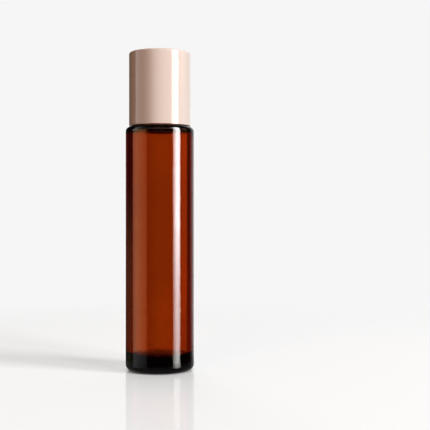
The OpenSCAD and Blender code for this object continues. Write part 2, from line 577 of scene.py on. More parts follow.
class Finish:
    """What the finishes share: a name, and patterns that have a real size."""

    name: str

    @staticmethod
    def clouds(tree: NodeTree, size_mm: float, detail: float = 2.0) -> Node:
        """Lays even blotches over the piece.

        Args:
            tree: The material's tree.
            size_mm: Size of a blotch.
            detail: Octaves of finer blotches on top.

        Returns:
            The node that holds the pattern.
        """
        place = add(tree, "ShaderNodeTexCoord").outputs["Object"]
        return add(tree, "ShaderNodeTexNoise",
                   {"Vector": place, "Scale": 1 / (size_mm * MM), "Detail": detail})

    def relief(self, tree: NodeTree, size_mm: float, height_mm: float, detail: float = 2.0) -> Node:
        """Raises such blotches from the surface.

        Args:
            tree: The material's tree.
            size_mm: Size of a blotch.
            height_mm: How far the highest stands out.
            detail: Octaves of finer blotches on top.

        Returns:
            The node that holds the raised surface's direction.
        """
        return add(tree, "ShaderNodeBump", {"Height": self.clouds(tree, size_mm, detail),
                                            "Strength": 1.0, "Distance": height_mm * MM})


@dataclass(frozen=True)
class AmberGlass(Finish):
    """Amber soda-lime glass, blown in a polished mould and fire-polished.

    Iron and sulphur in the melt take out blue, most of the green and some red, so a thin wall
    glows orange-brown and the thick foot is black. The skin is smooth, with a faint wave.
    """

    name: str = "amber_soda_lime_glass"
    ior: float = 1.52
    # What one unit of depth lets through sets the colour, and the density sets that unit
    tint: tuple[float, float, float] = (0.81, 0.5, 0.01)
    density_per_mm: float = 1.9
    wave_mm: float = 9.0
    wave_detail: float = 1.0
    wave_height_mm: float = 0.0004

    def build(self) -> Material:
        """Makes the material.

        Returns:
            The material.
        """
        material, tree = blank(self.name)
        wave = self.relief(tree, self.wave_mm, self.wave_height_mm, self.wave_detail)
        shader = add(tree, "ShaderNodeBsdfPrincipled", {
            "Base Color": linear(WHITE),
            "Roughness": 0.0,
            "IOR": self.ior,
            "Transmission Weight": 1.0,
            "Normal": wave,
        })
        depth = add(tree, "ShaderNodeVolumeAbsorption",
                    {"Color": (*self.tint, 1.0), "Density": self.density_per_mm / MM})
        add(tree, "ShaderNodeOutputMaterial", {"Surface": shader, "Volume": depth})
        return material


@dataclass(frozen=True)
class NudeLacquer(Finish):
    """High-gloss nude lacquer sprayed on a moulded ABS shell.

    The pigment layer is an even warm beige, and the clear coat mirrors the lights sharply.
    """

    name: str = "nude_gloss_lacquer"
    colour: str = "#E8D7CD"
    shade: str = "#E5D3C8"
    roughness: float = 0.5
    coat_ior: float = 1.5
    cloud_mm: float = 5.0
    peel_mm: float = 0.7
    peel_height_mm: float = 0.0004

    def build(self) -> Material:
        """Makes the material.

        Returns:
            The material.
        """
        material, tree = blank(self.name)
        pigment = add(tree, MIX, {"Factor": self.clouds(tree, self.cloud_mm),
                                  "A": linear(self.colour), "B": linear(self.shade)},
                      data_type="RGBA")
        peel = self.relief(tree, self.peel_mm, self.peel_height_mm)
        shader = add(tree, "ShaderNodeBsdfPrincipled", {
            "Base Color": pigment,
            "Roughness": self.roughness,
            "Specular IOR Level": 0.0,
            "Coat Weight": 1.0,
            "Coat Roughness": 0.0,
            "Coat IOR": self.coat_ior,
            "Normal": peel,
            "Coat Normal": peel,
        })
        add(tree, "ShaderNodeOutputMaterial", {"Surface": shader})
        return material


@dataclass(frozen=True)
class MouldedPlastic(Finish):
    """Uncoloured or white polyolefin, injection moulded: milky, waxy and a little translucent."""

    name: str
    colour: str
    shade: str
    ior: float = 1.51
    roughness: float = 0.38
    uneven: float = 0.05
    glow: float = 0.25
    glow_depth_mm: float = 0.6
    cloud_mm: float = 2.5
    grain_mm: float = 0.12
    grain_height_mm: float = 0.003

    def build(self) -> Material:
        """Makes the material.

        Returns:
            The material.
        """
        material, tree = blank(self.name)
        cloud = self.clouds(tree, self.cloud_mm)
        pigment = add(tree, MIX, {"Factor": cloud, "A": linear(self.colour),
                                  "B": linear(self.shade)}, data_type="RGBA")
        rough = add(tree, MAP_RANGE, (cloud, 0.0, 1.0, self.roughness - self.uneven,
                                      self.roughness + self.uneven))
        shader = add(tree, "ShaderNodeBsdfPrincipled", {
            "Base Color": pigment,
            "IOR": self.ior,
            "Subsurface Weight": self.glow,
            "Subsurface Scale": self.glow_depth_mm * MM,
            "Roughness": rough,
            "Normal": self.relief(tree, self.grain_mm, self.grain_height_mm),
        })
        add(tree, "ShaderNodeOutputMaterial", {"Surface": shader})
        return material


@dataclass(frozen=True)
class PolishedSteel(Finish):
    """Stainless steel, ground and lapped: a mirror with the finest haze."""

    name: str = "lapped_stainless_steel"
    colour: str = "#CCCDD0"
    roughness: tuple[float, float] = (0.02, 0.1)
    haze_mm: float = 1.2
    haze_detail: float = 4.0

    def build(self) -> Material:
        """Makes the material.

        Returns:
            The material.
        """
        material, tree = blank(self.name)
        haze = self.clouds(tree, self.haze_mm, self.haze_detail)
        rough = add(tree, MAP_RANGE, (haze, 0.0, 1.0, *self.roughness))
        shader = add(tree, "ShaderNodeBsdfPrincipled", {
            "Base Color": linear(self.colour),
            "Metallic": 1.0,
            "Roughness": rough,
        })
        add(tree, "ShaderNodeOutputMaterial", {"Surface": shader})
        return material


@dataclass(frozen=True)
class PolyethyleneFoam(Finish):
    """Closed-cell polyethylene foam: soft white, with fine round cells just under the skin."""

    name: str = "closed_cell_polyethylene_foam"
    colour: str = "#F4F3EE"
    cell_colour: str = "#DFDED8"
    roughness: float = 0.85
    glow: float = 0.3
    glow_depth_mm: float = 0.4
    # Real cells are about 0.1 mm, drawn twice as coarse so that they show
    cell_mm: float = 0.2
    cell_height_mm: float = 0.02
    cell_strength: float = 0.6

    def build(self) -> Material:
        """Makes the material.

        Returns:
            The material.
        """
        material, tree = blank(self.name)
        place = add(tree, "ShaderNodeTexCoord").outputs["Object"]
        cells = add(tree, "ShaderNodeTexVoronoi",
                    {"Vector": place, "Scale": 1 / (self.cell_mm * MM)})
        pigment = add(tree, MIX, {"Factor": cells, "A": linear(self.cell_colour),
                                  "B": linear(self.colour)}, data_type="RGBA")
        bump = add(tree, "ShaderNodeBump", {"Height": cells, "Strength": self.cell_strength,
                                            "Distance": self.cell_height_mm * MM})
        shader = add(tree, "ShaderNodeBsdfPrincipled", {
            "Base Color": pigment,
            "Roughness": self.roughness,
            "Subsurface Weight": self.glow,
            "Subsurface Scale": self.glow_depth_mm * MM,
            "Normal": bump,
        })
        add(tree, "ShaderNodeOutputMaterial", {"Surface": shader})
        return material


# Sub-assemblies


class Body(Enum):
    """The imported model's moving bodies."""

    BOTTLE = "bottle"
    BALL = "ball"
    SEAL = "seal"
    CAP = "cap"


def place(piece: Object, node: str, slot: str, body: Body) -> None:
    """Gives a finished piece its place in the frame.

    Args:
        piece: The piece.
        node: The CAD node that it stands for.
        slot: The record's material slot; not used.
        body: The body that it rides on.
    """
    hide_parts(node)
    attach(piece, body.value)
    LOG.info("%s: %d faces, on %s", piece.name, len(piece.data.polygons), body.value)


def extent(node: str) -> tuple[float, float, float]:
    """Reads a turned CAD node's radius, lowest and highest place, in millimetres."""
    low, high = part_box(node)
    return high.x / MM, low.z / MM, high.z / MM


@dataclass
class Bottle:
    """The glass: thick foot, straight wall, rounded shoulder and threaded neck."""

    wall: float = 2.0
    shoulder_wall: float = 1.6
    floor_z: float = 4.4
    floor_fillet: float = 1.0
    # How far the middle of the inner floor is blown up over its rim
    floor_dome: float = 1.4
    # The dome ends this far inside the wall, where the fillet takes over
    floor_dome_gap: float = 1.5
    heel_fillet: float = 1.75
    shoulder_fillet: float = 1.5
    roof_fillet: float = 0.8
    foot_ring: float = 1.9
    foot_ring_fillet: float = 0.5
    push_up: float = 0.8
    neck_h: float = 9.0
    neck_r: float = 6.5
    bore_r: float = 5.0
    root_fillet: float = 0.6
    rim_fillet: float = 0.4
    throat_fillet: float = 1.0
    thread_start: float = 3.0
    # Spacing of the points that shape the thread
    thread_step: float = 0.09
    dome_chords: int = 24
    fillet_chords: int = 14

    def outline(self) -> list[Vector]:
        """Draws the half section, from the middle of the foot up and back down inside.

        Returns:
            The section's points.
        """
        radius, _, rim_z = extent("glass_bottle")
        shoulder_z = rim_z - self.neck_h
        roof_z = shoulder_z - self.shoulder_wall
        inside_r = radius - self.wall
        ring_r = radius - self.heel_fillet - self.foot_ring
        push_up = dome(self.push_up, ring_r, self.push_up, self.dome_chords)
        floor = dome(self.floor_z + self.floor_dome, inside_r, self.floor_dome, self.dome_chords,
                     inside_r - self.floor_dome_gap)
        return rounded([
            *push_up[:-1],
            Corner(ring_r, 0.0, self.foot_ring_fillet),
            Corner(radius, 0.0, self.heel_fillet),
            Corner(radius, shoulder_z, self.shoulder_fillet),
            Corner(self.neck_r, shoulder_z, self.root_fillet, self.thread_step),
            Corner(self.neck_r, rim_z, self.rim_fillet),
            Corner(self.bore_r, rim_z, self.rim_fillet),
            Corner(self.bore_r, roof_z, self.throat_fillet),
            Corner(inside_r, roof_z, self.roof_fillet),
            Corner(inside_r, self.floor_z, self.floor_fillet),
            *reversed(floor),
        ], self.fillet_chords)

    def build(self, shop: Workshop) -> None:
        """Makes and places the glass.

        Args:
            shop: What turns outlines into pieces.
        """
        rim_z = extent("glass_bottle")[2]
        thread = Thread(wall_r=self.neck_r, start_z=rim_z - self.neck_h + self.thread_start)
        piece = shop.turn("amber_bottle", self.outline(), AmberGlass().build(), thread)
        place(shop.finish(piece), "glass_bottle", "amber_glass", Body.BOTTLE)


@dataclass
class Roller:
    """The housing pressed into the neck, and the ball that rolls in it."""

    play: float = 0.08
    seat_web: float = 0.8
    lip_fillet: float = 0.5
    plug_r: float = 4.85
    plug_wall: float = 1.05
    plug_fillet: float = 0.25
    rings: int = 3
    ring_r: float = 0.45
    ring_reach: float = 5.05
    ring_chords: int = 10
    feed_r: float = 2.5
    socket_chords: int = 40
    ball_chords: int = 96
    slots: int = 4
    slot_w: float = 0.9
    slot_l: float = 1.0
    # The flange lies this far above the glass, so that the two skins don't coincide
    film: float = 0.02

    def ball_place(self) -> tuple[float, float]:
        """Gives the ball's radius and the height of its centre."""
        radius, low_z, high_z = extent("roller_ball")
        return radius, (low_z + high_z) / 2

    def housing_outline(self) -> list[Vector]:
        """Draws the half section, from the feed hole round the plug and cup and back.

        Returns:
            The section's points.
        """
        cup_r, plug_z, lip_z = extent("roller_housing")
        rim_z = extent("glass_bottle")[2]
        ball_r, ball_z = self.ball_place()
        socket_r = ball_r + self.play
        seat_low_z = ball_z - socket_r - self.seat_web
        inner_r = self.plug_r - self.plug_wall
        spacing = (rim_z - plug_z) / (self.rings + 1)
        ring_centre = self.ring_reach - self.ring_r
        half = math.degrees(math.acos((self.plug_r - ring_centre) / self.ring_r))
        ridges = [point for i in range(self.rings)
                  for point in arc(plug_z + (i + 1) * spacing, self.ring_r, -half, half,
                                   self.ring_chords, ring_centre)]
        lip = math.degrees(math.asin((lip_z - ball_z) / socket_r))
        seat = math.degrees(math.acos(self.feed_r / socket_r))
        return rounded([
            Corner(self.feed_r, seat_low_z),
            Corner(inner_r, seat_low_z),
            Corner(inner_r, plug_z, self.plug_fillet),
            Corner(self.plug_r, plug_z, self.plug_fillet),
            *ridges,
            Corner(self.plug_r, rim_z + self.film),
            Corner(cup_r, rim_z + self.film),
            Corner(cup_r, lip_z, self.lip_fillet),
            *arc(ball_z, socket_r, lip, -seat, self.socket_chords),
            Corner(self.feed_r, seat_low_z),
        ])

    def build_housing(self, shop: Workshop) -> None:
        """Makes and places the housing, with the slots that wet the ball.

        Args:
            shop: What turns outlines into pieces.
        """
        material = MouldedPlastic("natural_polyethylene", "#F1F0EA", "#E6E5DE", roughness=0.42,
                                  glow=0.5, glow_depth_mm=1.0).build()
        piece = shop.turn("roller_housing_moulded", self.housing_outline(), material)
        ball_r, ball_z = self.ball_place()
        shop.attach(piece, shop.slots, {
            "Count": self.slots,
            "Length": (self.feed_r + self.slot_l) * MM,
            "Width": self.slot_w * MM,
            "Low": (ball_z - ball_r - self.play) * MM,
            "High": ball_z * MM,
            "Material": material,
        })
        place(shop.finish(piece), "roller_housing", "natural_polyethylene", Body.BOTTLE)

    def build_ball(self, shop: Workshop) -> None:
        """Makes and places the ball.

        Args:
            shop: What turns outlines into pieces.
        """
        ball_r, ball_z = self.ball_place()
        outline = rounded(arc(ball_z, ball_r, -90.0, 90.0, self.ball_chords))
        piece = shop.turn("steel_ball", outline, PolishedSteel().build())
        place(shop.finish(piece), "roller_ball", "polished_steel", Body.BALL)


@dataclass
class Seal:
    """The foam disc in the cap's roof, with the print of the ball in it."""

    edge_fillet: float = 0.2
    print_r: float = 2.2
    print_depth: float = 0.12
    print_chords: int = 12

    def build(self, shop: Workshop) -> None:
        """Makes and places the disc.

        Args:
            shop: What turns outlines into pieces.
        """
        radius, low_z, high_z = extent("sealing_disc")
        outline = rounded([
            *dome(low_z + self.print_depth, self.print_r, self.print_depth, self.print_chords),
            Corner(radius, low_z, self.edge_fillet),
            Corner(radius, high_z, self.edge_fillet),
            Corner(0.0, high_z),
        ])
        piece = shop.turn("foam_disc", outline, PolyethyleneFoam().build())
        place(shop.finish(piece), "sealing_disc", "polyethylene_foam", Body.SEAL)


@dataclass
class Cap:
    """The lacquered shell, and the threaded insert pressed into it."""

    shell_wall: float = 0.9
    shell_top: float = 1.0
    top_fillet: float = 0.5
    # The lip and the shell's inner corners
    mouth_fillet: float = 0.12
    bore_r: float = 7.35
    wall: float = 0.7
    roof: float = 0.8
    bead_r: float = 0.35
    bead_gap: float = 0.1
    bead_chords: int = 10
    spacer_r: float = 5.5
    spacer_wall: float = 0.8
    # The insert stays this far inside the ribs' and the spacer's squeezed size
    film: float = 0.02

    def build_shell(self, shop: Workshop) -> None:
        """Makes and places the shell.

        Args:
            shop: What turns outlines into pieces.
        """
        radius, low_z, top_z = extent("cap_shell")
        inside_r = radius - self.shell_wall
        outline = rounded([
            Corner(0.0, top_z),
            Corner(radius, top_z, self.top_fillet),
            Corner(radius, low_z, self.mouth_fillet),
            Corner(inside_r, low_z, self.mouth_fillet),
            Corner(inside_r, top_z - self.shell_top, self.mouth_fillet),
            Corner(0.0, top_z - self.shell_top),
        ])
        piece = shop.turn("lacquered_shell", outline, NudeLacquer().build())
        place(shop.finish(piece), "cap_shell", "nude_lacquer", Body.CAP)

    def build_insert(self, shop: Workshop) -> None:
        """Makes and places the insert with its thread, bead and grip ribs.

        Args:
            shop: What turns outlines into pieces.
        """
        reach, low_z, spacer_z = extent("cap_insert")
        _, disc_z, roof_z = extent("sealing_disc")
        rim_z = extent("glass_bottle")[2]
        wall_r = self.bore_r + self.wall
        roof_top_z = roof_z + self.roof
        outline = rounded([
            Corner(0.0, roof_top_z),
            Corner(self.spacer_r - self.spacer_wall, roof_top_z),
            Corner(self.spacer_r - self.spacer_wall, spacer_z - self.film),
            Corner(self.spacer_r, spacer_z - self.film),
            Corner(self.spacer_r, roof_top_z),
            Corner(wall_r, roof_top_z),
            Corner(wall_r, low_z),
            Corner(self.bore_r, low_z, step=Bottle.thread_step),
            *arc(disc_z - self.bead_gap - self.bead_r, self.bead_r, 270.0, 90.0,
                 self.bead_chords, self.bore_r),
            Corner(self.bore_r, roof_z),
            Corner(0.0, roof_z),
        ])
        # Its ridge runs in the gap of the neck's thread, half a pitch below
        thread_z = rim_z - Bottle.neck_h + Bottle.thread_start - Thread.pitch / 2
        thread = Thread(wall_r=self.bore_r, start_z=thread_z, side=-1.0)
        shell_bore = extent("cap_shell")[0] - self.shell_wall
        ribs = Ribs(wall_r=wall_r, height=shell_bore - wall_r - self.film)
        material = MouldedPlastic("white_polypropylene", "#F0EFEB", "#E8E7E2",
                                  roughness=0.3).build()
        piece = shop.turn("threaded_insert", outline, material, thread, ribs)
        place(shop.finish(piece), "cap_insert", "white_polypropylene", Body.CAP)
        LOG.info("the ribs reach %.2f mm, and the CAD insert's %.2f mm", shell_bore, reach)


# The studio


@dataclass(frozen=True)
class Camera:
    """The photograph's camera: level, about 27 cm away, with the bottle left of centre."""

    eye_mm: tuple[float, float, float] = (16.39, -267.7, 45.9)
    lens_mm: float = 75.35
    sensor_mm: float = 36.0
    nearest_m: float = 0.01

    def build(self) -> None:
        """Makes the camera and makes it the scene's."""
        data = bpy.data.cameras.new("camera")
        data.lens = self.lens_mm
        data.sensor_width = self.sensor_mm
        data.sensor_fit = "HORIZONTAL"
        data.clip_start = self.nearest_m
        camera = bpy.data.objects.new("camera", data)
        camera.location = Vector(self.eye_mm) * MM
        camera.rotation_euler = (math.pi / 2, 0.0, 0.0)
        bpy.context.scene.collection.objects.link(camera)
        bpy.context.scene.camera = camera


@dataclass(frozen=True)
class Lamp:
    """A softbox that lights surfaces but isn't mirrored in them.

    Attributes:
        name: The lamp's name.
        azimuth: Degrees to the right of the camera's side, seen from the bottle.
        elevation: Degrees above the horizon.
        level: How bright a white surface looks that faces it.
        width: Width in millimetres.
        height: Height in millimetres.
        distance: Distance from the bottle in millimetres.
        colour: Colour of its light.
    """

    name: str
    azimuth: float
    elevation: float
    level: float
    width: float
    height: float
    distance: float = 1500.0
    colour: str = WHITE

    def build(self, target: Vector) -> None:
        """Makes the lamp, facing a target point.

        Args:
            target: The point.
        """
        data = bpy.data.lights.new(self.name, "AREA")
        data.shape = "RECTANGLE"
        data.size = self.width * MM
        data.size_y = self.height * MM
        data.color = linear(self.colour)[:3]
        # An area lamp of pi squared watts lights white paper one metre off to a level of 1
        data.energy = self.level * math.pi ** 2 * (self.distance * MM) ** 2
        lamp = bpy.data.objects.new(self.name, data)
        azimuth = math.radians(self.azimuth)
        elevation = math.radians(self.elevation)
        away = Vector((math.sin(azimuth) * math.cos(elevation),
                       -math.cos(azimuth) * math.cos(elevation), math.sin(elevation)))
        lamp.location = target + away * self.distance * MM
        lamp.rotation_euler = away.to_track_quat("Z", "Y").to_euler()
        lamp.visible_glossy = False
        lamp.visible_camera = False
        lamp.visible_transmission = False
        bpy.context.scene.collection.objects.link(lamp)


class Reading(Enum):
    """What the nodes of the studio read: a direction in the world, or a place on the floor."""

    DIRECTION = "Generated"
    PLACE = "Object"


class Sight:
    """What a tree of the studio knows of a ray that comes to it.

    Attributes:
        tree: The tree.
        ray: The Light Path node's outputs.
        way: The ray's direction, or the place on the floor where it comes.
        x: That vector's part to the right.
        y: Its part to the back.
        z: Its part upwards.
    """

    # A count below one of these is none, at most once, or at most twice
    NONE = 0.5
    ONCE = 1.5
    TWICE = 2.5

    def __init__(self, tree: NodeTree, reading: Reading) -> None:
        """Adds the nodes that read the ray.

        Args:
            tree: The tree.
            reading: What its vector is.
        """
        self.tree = tree
        self.ray = add(tree, "ShaderNodeLightPath").outputs
        self.way = add(tree, "ShaderNodeTexCoord").outputs[reading.value]
        self.x, self.y, self.z = add(tree, "ShaderNodeSeparateXYZ", (self.way,)).outputs

    def from_behind(self) -> Node:
        """Gives the azimuth from straight behind the bottle, in radians to the right."""
        return add(self.tree, MATH, (self.x, self.y), operation="ARCTAN2")

    def inside(self) -> Node:
        """Tells, with 1, a ray that has been in the glass."""
        return add(self.tree, MATH, (self.ray["Transmission Depth"], 1.0), operation="MINIMUM")

    def in_mirror(self) -> Node:
        """Tells, with 1, a ray that gloss or the wall of the glass mirrors.

        The wall sends it back through one face or two. A ray that has crossed the bottle has gone
        through more, and is left out.

        Returns:
            The node that holds 1 or 0.
        """
        near_side = add(self.tree, MATH, (self.ray["Transmission Depth"], self.TWICE),
                        operation="LESS_THAN")
        return add(self.tree, MATH, (self.ray["Glossy Depth"], near_side), operation="MINIMUM")

    def off_the_floor(self) -> Node:
        """Tells, with 1, a ray that the floor's gloss sends straight to the room.

        It has crossed the film over the floor twice. Any other has crossed one lamp at most.

        Returns:
            The node that holds 1 or 0.
        """
        answer = add(self.tree, MATH, (self.z, 0.0), operation="GREATER_THAN")
        for count, test, limit in (("Transparent Depth", "GREATER_THAN", self.ONCE),
                                   ("Glossy Depth", "LESS_THAN", self.ONCE),
                                   ("Transmission Depth", "LESS_THAN", self.NONE)):
            holds = add(self.tree, MATH, (self.ray[count], limit), operation=test)
            answer = add(self.tree, MATH, (answer, holds), operation="MULTIPLY")
        return answer

    def shown(self) -> Node:
        """Tells, with 1, a ray that the eye, gloss or glass sends out, not one of soft light.

        Returns:
            The node that holds 1 or 0.
        """
        sent = self.ray["Is Camera Ray"]
        for kind in ("Is Glossy Ray", "Is Transmission Ray"):
            sent = add(self.tree, MATH, (sent, self.ray[kind]), operation="MAXIMUM")
        soft = add(self.tree, MATH, (self.ray["Diffuse Depth"], 1.0), operation="MINIMUM")
        return add(self.tree, MATH, (sent, soft), operation="SUBTRACT", use_clamp=True)


def gradient(tree: NodeTree, angle: Node, stops: list[tuple[float, Vector]]) -> Node:
    """Draws light that changes evenly from angle to angle.

    Args:
        tree: The tree that gets the nodes.
        angle: The angle in radians.
        stops: Angles in degrees from the smallest up, each with its light in red, green and blue.

    Returns:
        The node that holds the light.
    """
    first, last = stops[0][0], stops[-1][0]
    brightest = max(max(light) for _, light in stops)
    along = add(tree, MAP_RANGE, (angle, math.radians(first), math.radians(last)))
    ramp = add(tree, "ShaderNodeValToRGB", (along,))
    marks = ramp.color_ramp.elements
    # A new ramp has two marks, and those added here are moved to their places after
    for _ in stops[2:]:
        marks.new(0.5)
    for mark, (deg, light) in zip(marks, stops):
        mark.position = (deg - first) / (last - first)
        mark.color = (*(light / brightest), 1.0)
    return add(tree, VECTOR_MATH, {0: ramp, "Scale": brightest}, operation="SCALE")


@dataclass(frozen=True)
class Glow:
    """How a softbox glows at one azimuth.

    Attributes:
        azimuth: Degrees to the right of the camera's side, seen from the bottle.
        level: Brightness.
        colour: Colour of the light, where it isn't the softbox's own.
    """

    azimuth: float
    level: float
    colour: str | None = None


@dataclass(frozen=True)
class Softbox:
    """A softbox's glowing face, far off, as gloss and the wall of the glass mirror it.

    What is below the horizon is the face's own image in the floor.

    Attributes:
        glow: How it glows at its azimuths, from left to right, with nothing at the ends.
        low_deg: Elevations between which it fades in.
        high_deg: Elevations between which it fades out.
        colour: Colour of its light.
        image_deg: Elevation at which its image has come to its own share of the glow.
        image: That share.
        inner: Share of the glow that the inside of the glass wall mirrors.
    """

    glow: tuple[Glow, ...]
    low_deg: tuple[float, float]
    high_deg: tuple[float, float]
    colour: str = WHITE
    image_deg: float = -4.0
    image: float = 1.2
    inner: float = 1.0

    def light(self, tree: NodeTree, azimuth: Node, elevation: Node, inside: Node) -> Node:
        """Adds its light.

        Args:
            tree: The tree that gets the nodes.
            azimuth: A direction's azimuth to the right of the camera's side, in radians.
            elevation: The direction's elevation, in radians.
            inside: 1 for a ray that has been in the glass, or 0.

        Returns:
            The node that holds the light.
        """
        along = gradient(tree, azimuth, [
            (glow.azimuth, Vector(linear(glow.colour or self.colour)[:3]) * glow.level)
            for glow in self.glow])
        share = add(tree, MAP_RANGE,
                    (elevation, math.radians(self.image_deg), 0.0, self.image, 1.0))
        for start, end in (self.low_deg, reversed(self.high_deg)):
            fade = add(tree, MAP_RANGE, (elevation, math.radians(start), math.radians(end)))
            share = add(tree, MATH, (share, fade), operation="MULTIPLY")
        kept = add(tree, MAP_RANGE, (inside, 0.0, 1.0, 1.0, self.inner))
        share = add(tree, MATH, (share, kept), operation="MULTIPLY")
        return add(tree, VECTOR_MATH, {0: along, "Scale": share}, operation="SCALE")


@dataclass(frozen=True)
class Room:
    """How pale the room is round about, by azimuth from straight behind the bottle.

    The backdrop stands behind the bottle. In a mirror the room beside it, above it and behind
    the camera is dark, and that gives the glass its dark edges.
    """

    # Where the backdrop starts to fade on each side, and where it has gone
    right_deg: tuple[float, float] = (22.0, 56.0)
    left_deg: tuple[float, float] = (-13.5, -24.0)
    # Elevations between which the backdrop ends
    top_deg: tuple[float, float] = (35.0, 50.0)
    dark_level: float = 0.012
    # The room's dark part on the left and on the right, as the thick wall of the glass shows it
    dark_in_glass: tuple[float, float] = (0.22, 0.13)
    # The backdrop glows unevenly, as lamps behind would light it, which shows through the glass:
    # level by azimuth.
    # The floor far behind the bottle glows by the same levels through the glass, as painted light.
    behind: tuple[tuple[float, float], ...] = ((-60.0, 1.0), (-28.0, 1.24), (-14.0, 0.89),
                                               (-9.0, 0.85), (-3.5, 1.0), (0.0, 1.05),
                                               (5.0, 1.12), (9.0, 1.45), (13.0, 1.82),
                                               (30.0, 2.6), (60.0, 1.0))
    # How much brighter it is higher up, and the elevations between which it grows so
    behind_above: float = 1.13
    behind_above_deg: tuple[float, float] = (1.5, 3.8)
    # Painted light: the level by azimuth at which the floor close behind the bottle glows, seen
    # through the glass
    painted_floor_behind: tuple[tuple[float, float], ...] = ((-60.0, 1.0), (-28.0, 1.24), (-14.0, 0.89),
                                                     (-9.0, 0.9), (-3.5, 1.34), (0.0, 1.44),
                                                     (5.0, 1.3), (9.0, 1.5), (13.0, 1.82),
                                                     (30.0, 2.6), (60.0, 1.0))

    def beside(self, sight: Sight) -> Node:
        """Tells how far a direction is off the backdrop.

        Args:
            sight: The ray.

        Returns:
            The node that holds 0 on the backdrop and 1 beside it.
        """
        azimuth = sight.from_behind()
        right, left = (add(sight.tree, MAP_RANGE, (azimuth, *map(math.radians, side)))
                       for side in (self.right_deg, self.left_deg))
        return add(sight.tree, MATH, (right, left), operation="MAXIMUM")

    def above(self, sight: Sight) -> Node:
        """Tells how far a direction is over the backdrop's upper edge, from 0 to 1."""
        heights = [math.sin(math.radians(deg)) for deg in self.top_deg]
        return add(sight.tree, MAP_RANGE, (sight.z, *heights))

    def mirrored(self, sight: Sight, off: Node) -> Node:
        """Gives the room's paleness in a mirror.

        Args:
            sight: The ray.
            off: How far its direction is off the backdrop.

        Returns:
            The node that holds the level.
        """
        left, right = self.dark_in_glass
        to_right = add(sight.tree, MATH, (sight.x, 0.0), operation="GREATER_THAN")
        in_glass = add(sight.tree, MIX, {"Factor": to_right, "A": left, "B": right})
        dark = add(sight.tree, MIX,
                   {"Factor": sight.inside(), "A": self.dark_level, "B": in_glass})
        return add(sight.tree, MIX, {"Factor": off, "A": 1.0, "B": dark})

    @staticmethod
    def through_glass(sight: Sight, levels: tuple[tuple[float, float], ...]) -> Node:
        """Gives the level straight to the eye, and through the glass.

        Args:
            sight: The ray.
            levels: The level by azimuth.

        Returns:
            The node that holds the level.
        """
        glow = gradient(sight.tree, sight.from_behind(),
                        [(deg, Vector((level, level, level))) for deg, level in levels])
        return add(sight.tree, MIX,
                   {"Factor": sight.ray["Is Transmission Ray"], "A": 1.0, "B": glow})


